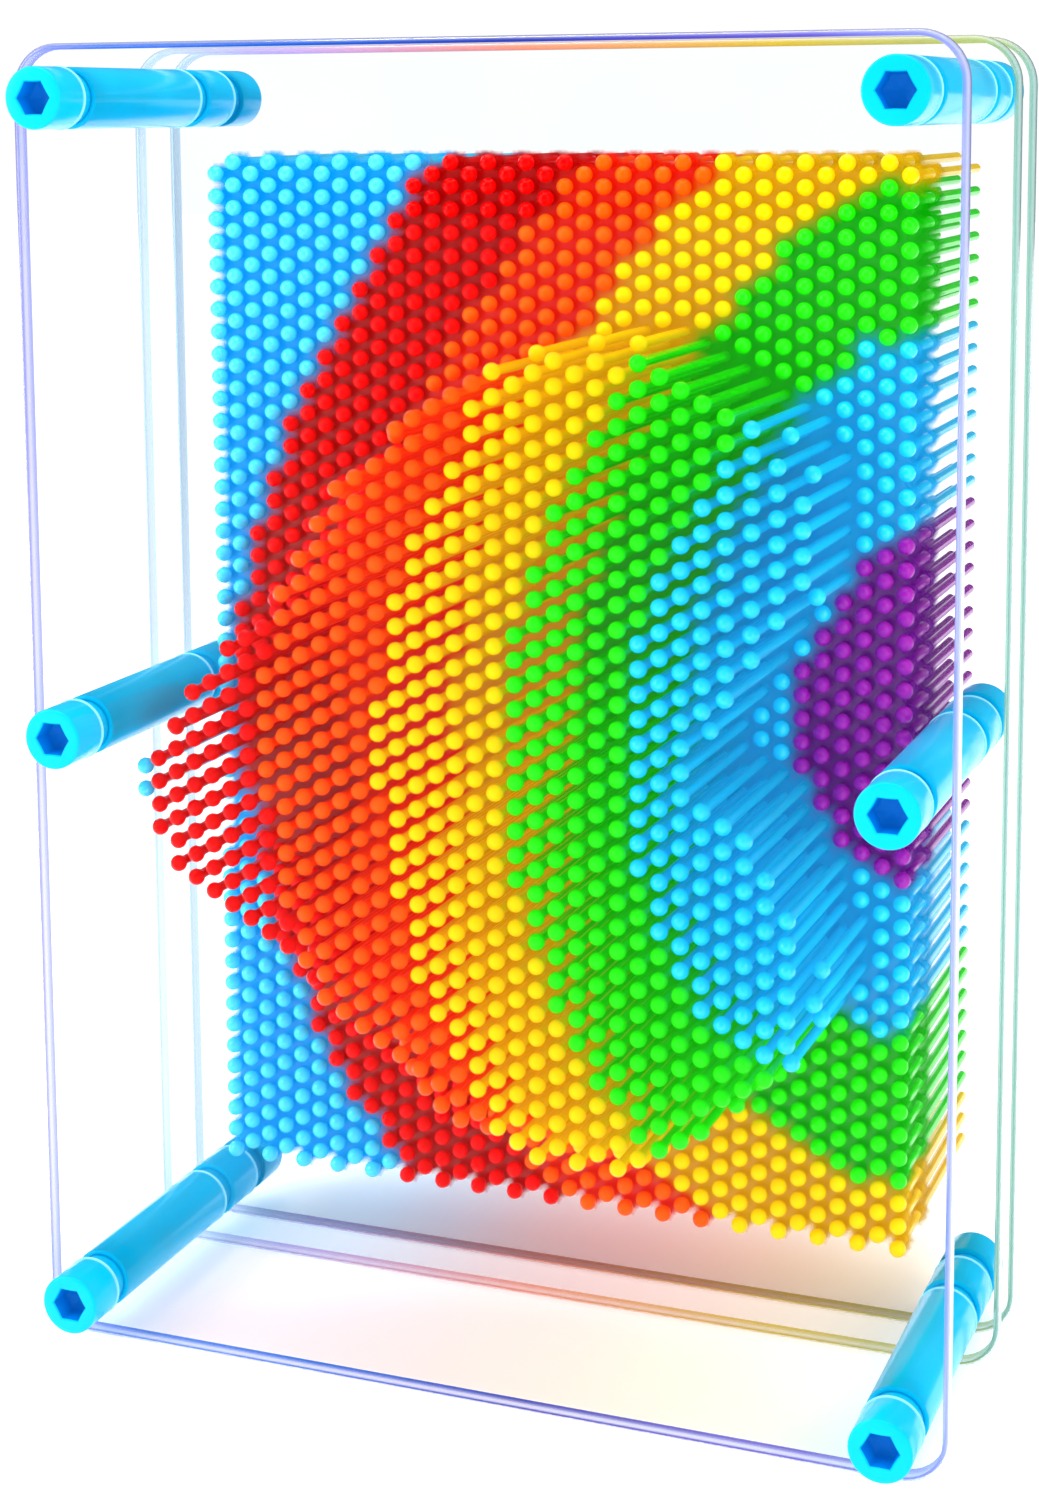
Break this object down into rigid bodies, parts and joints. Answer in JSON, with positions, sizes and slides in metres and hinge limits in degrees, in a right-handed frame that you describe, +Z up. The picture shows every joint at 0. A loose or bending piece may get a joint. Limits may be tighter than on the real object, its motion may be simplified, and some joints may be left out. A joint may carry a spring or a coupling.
{
  "type": "pin art impression toy",
  "caption": "Upright pin art toy: clear front cover and two clear pin plates on tie posts, holding a field of sliding coloured pins with an impression.",
  "frame": {"origin": "under the middle of the whole object's box, on the surface that the three plates stand on", "axes": "+Z up along the plates' height, +X to the viewer's right, -Y out of the front cover"},
  "size_m": [0.143, 0.089, 0.2],
  "materials": {
    "clear_acrylic": "clear polished acrylic sheet",
    "cyan_plastic": "glossy translucent cyan plastic",
    "pin_light_blue": "glossy moulded plastic",
    "pin_red": "glossy moulded plastic",
    "pin_orange": "glossy moulded plastic",
    "pin_yellow": "glossy moulded plastic",
    "pin_green": "glossy moulded plastic",
    "pin_blue": "glossy moulded plastic",
    "pin_purple": "glossy moulded plastic"
  },
  "bodies": {
    "frame": {"front_cover": "clear_acrylic", "front_pin_plate": "clear_acrylic", "rear_pin_plate": "clear_acrylic", "tie_bolt_top_left": "cyan_plastic", "long_sleeve_top_left": "cyan_plastic", "short_sleeve_top_left": "cyan_plastic", "cap_nut_top_left": "cyan_plastic", "tie_bolt_top_right": "cyan_plastic", "long_sleeve_top_right": "cyan_plastic", "short_sleeve_top_right": "cyan_plastic", "cap_nut_top_right": "cyan_plastic", "tie_bolt_middle_left": "cyan_plastic", "long_sleeve_middle_left": "cyan_plastic", "short_sleeve_middle_left": "cyan_plastic", "cap_nut_middle_left": "cyan_plastic", "tie_bolt_middle_right": "cyan_plastic", "long_sleeve_middle_right": "cyan_plastic", "short_sleeve_middle_right": "cyan_plastic", "cap_nut_middle_right": "cyan_plastic", "tie_bolt_bottom_left": "cyan_plastic", "long_sleeve_bottom_left": "cyan_plastic", "short_sleeve_bottom_left": "cyan_plastic", "cap_nut_bottom_left": "cyan_plastic", "tie_bolt_bottom_right": "cyan_plastic", "long_sleeve_bottom_right": "cyan_plastic", "short_sleeve_bottom_right": "cyan_plastic", "cap_nut_bottom_right": "cyan_plastic"},
    "level_light_blue_pins_1": {"level_light_blue_pins_1": "pin_light_blue"},
    "lone_light_blue_pin_1": {"lone_light_blue_pin_1": "pin_light_blue"},
    "lone_light_blue_pin_2": {"lone_light_blue_pin_2": "pin_light_blue"},
    "level_light_blue_pins_2": {"level_light_blue_pins_2": "pin_light_blue"},
    "level_red_pins_1": {"level_red_pins_1": "pin_red"},
    "raised_red_pins_1": {"raised_red_pins_1": "pin_red"},
    "level_red_pins_2": {"level_red_pins_2": "pin_red"},
    "raised_orange_pins_1": {"raised_orange_pins_1": "pin_orange"},
    "raised_red_pins_2": {"raised_red_pins_2": "pin_red"},
    "level_orange_pin_1": {"level_orange_pin_1": "pin_orange"},
    "level_orange_pins_1": {"level_orange_pins_1": "pin_orange"},
    "level_orange_pins_2": {"level_orange_pins_2": "pin_orange"},
    "raised_yellow_pins_1": {"raised_yellow_pins_1": "pin_yellow"},
    "raised_orange_pins_2": {"raised_orange_pins_2": "pin_orange"},
    "raised_green_pins_1": {"raised_green_pins_1": "pin_green"},
    "raised_yellow_pins_2": {"raised_yellow_pins_2": "pin_yellow"},
    "level_yellow_pins_1": {"level_yellow_pins_1": "pin_yellow"},
    "level_yellow_pins_2": {"level_yellow_pins_2": "pin_yellow"},
    "raised_blue_pins_1": {"raised_blue_pins_1": "pin_blue"},
    "raised_green_pins_2": {"raised_green_pins_2": "pin_green"},
    "level_green_pins_1": {"level_green_pins_1": "pin_green"},
    "level_green_pins_2": {"level_green_pins_2": "pin_green"},
    "level_blue_pins_1": {"level_blue_pins_1": "pin_blue"},
    "raised_blue_pins_2": {"raised_blue_pins_2": "pin_blue"},
    "level_blue_pin_1": {"level_blue_pin_1": "pin_blue"},
    "level_purple_pins_1": {"level_purple_pins_1": "pin_purple"},
    "level_blue_pins_2": {"level_blue_pins_2": "pin_blue"},
    "level_blue_pin_2": {"level_blue_pin_2": "pin_blue"},
    "level_blue_pins_3": {"level_blue_pins_3": "pin_blue"},
    "level_blue_pins_4": {"level_blue_pins_4": "pin_blue"}
  },
  "joints": [
    {"name": "level_light_blue_pins_1_slide", "type": "slide", "parent": "frame", "child": "level_light_blue_pins_1", "axis": [0, -1, 0], "range_m": [0, 0.0306]},
    {"name": "lone_light_blue_pin_1_slide", "type": "slide", "parent": "frame", "child": "lone_light_blue_pin_1", "axis": [0, -1, 0], "range_m": [-0.027, 0.0036]},
    {"name": "lone_light_blue_pin_2_slide", "type": "slide", "parent": "frame", "child": "lone_light_blue_pin_2", "axis": [0, -1, 0], "range_m": [-0.027, 0.0036]},
    {"name": "level_light_blue_pins_2_slide", "type": "slide", "parent": "frame", "child": "level_light_blue_pins_2", "axis": [0, -1, 0], "range_m": [0, 0.0306]},
    {"name": "level_red_pins_1_slide", "type": "slide", "parent": "frame", "child": "level_red_pins_1", "axis": [0, -1, 0], "range_m": [0, 0.0306]},
    {"name": "raised_red_pins_1_slide", "type": "slide", "parent": "frame", "child": "raised_red_pins_1", "axis": [0, -1, 0], "range_m": [-0.0228, 0.0016]},
    {"name": "level_red_pins_2_slide", "type": "slide", "parent": "frame", "child": "level_red_pins_2", "axis": [0, -1, 0], "range_m": [0, 0.0306]},
    {"name": "raised_orange_pins_1_slide", "type": "slide", "parent": "frame", "child": "raised_orange_pins_1", "axis": [0, -1, 0], "range_m": [-0.0197, 0.0004]},
    {"name": "raised_red_pins_2_slide", "type": "slide", "parent": "frame", "child": "raised_red_pins_2", "axis": [0, -1, 0], "range_m": [-0.0194, 0.0014]},
    {"name": "level_orange_pin_1_slide", "type": "slide", "parent": "frame", "child": "level_orange_pin_1", "axis": [0, -1, 0], "range_m": [0, 0.0306]},
    {"name": "level_orange_pins_1_slide", "type": "slide", "parent": "frame", "child": "level_orange_pins_1", "axis": [0, -1, 0], "range_m": [0, 0.0306]},
    {"name": "level_orange_pins_2_slide", "type": "slide", "parent": "frame", "child": "level_orange_pins_2", "axis": [0, -1, 0], "range_m": [0, 0.0306]},
    {"name": "raised_yellow_pins_1_slide", "type": "slide", "parent": "frame", "child": "raised_yellow_pins_1", "axis": [0, -1, 0], "range_m": [-0.0202, 0.0004]},
    {"name": "raised_orange_pins_2_slide", "type": "slide", "parent": "frame", "child": "raised_orange_pins_2", "axis": [0, -1, 0], "range_m": [-0.0185, 0.0004]},
    {"name": "raised_green_pins_1_slide", "type": "slide", "parent": "frame", "child": "raised_green_pins_1", "axis": [0, -1, 0], "range_m": [-0.0292, 0.0004]},
    {"name": "raised_yellow_pins_2_slide", "type": "slide", "parent": "frame", "child": "raised_yellow_pins_2", "axis": [0, -1, 0], "range_m": [-0.0198, 0.0004]},
    {"name": "level_yellow_pins_1_slide", "type": "slide", "parent": "frame", "child": "level_yellow_pins_1", "axis": [0, -1, 0], "range_m": [0, 0.0306]},
    {"name": "level_yellow_pins_2_slide", "type": "slide", "parent": "frame", "child": "level_yellow_pins_2", "axis": [0, -1, 0], "range_m": [0, 0.0306]},
    {"name": "raised_blue_pins_1_slide", "type": "slide", "parent": "frame", "child": "raised_blue_pins_1", "axis": [0, -1, 0], "range_m": [-0.0151, 0.0004]},
    {"name": "raised_green_pins_2_slide", "type": "slide", "parent": "frame", "child": "raised_green_pins_2", "axis": [0, -1, 0], "range_m": [-0.0228, 0.0004]},
    {"name": "level_green_pins_1_slide", "type": "slide", "parent": "frame", "child": "level_green_pins_1", "axis": [0, -1, 0], "range_m": [0, 0.0306]},
    {"name": "level_green_pins_2_slide", "type": "slide", "parent": "frame", "child": "level_green_pins_2", "axis": [0, -1, 0], "range_m": [0, 0.0306]},
    {"name": "level_blue_pins_1_slide", "type": "slide", "parent": "frame", "child": "level_blue_pins_1", "axis": [0, -1, 0], "range_m": [0, 0.0306]},
    {"name": "raised_blue_pins_2_slide", "type": "slide", "parent": "frame", "child": "raised_blue_pins_2", "axis": [0, -1, 0], "range_m": [-0.0227, 0.0004]},
    {"name": "level_blue_pin_1_slide", "type": "slide", "parent": "frame", "child": "level_blue_pin_1", "axis": [0, -1, 0], "range_m": [0, 0.0306]},
    {"name": "level_purple_pins_1_slide", "type": "slide", "parent": "frame", "child": "level_purple_pins_1", "axis": [0, -1, 0], "range_m": [0, 0.0306]},
    {"name": "level_blue_pins_2_slide", "type": "slide", "parent": "frame", "child": "level_blue_pins_2", "axis": [0, -1, 0], "range_m": [0, 0.0306]},
    {"name": "level_blue_pin_2_slide", "type": "slide", "parent": "frame", "child": "level_blue_pin_2", "axis": [0, -1, 0], "range_m": [0, 0.0306]},
    {"name": "level_blue_pins_3_slide", "type": "slide", "parent": "frame", "child": "level_blue_pins_3", "axis": [0, -1, 0], "range_m": [0, 0.0306]},
    {"name": "level_blue_pins_4_slide", "type": "slide", "parent": "frame", "child": "level_blue_pins_4", "axis": [0, -1, 0], "range_m": [0, 0.0306]}
  ]
}
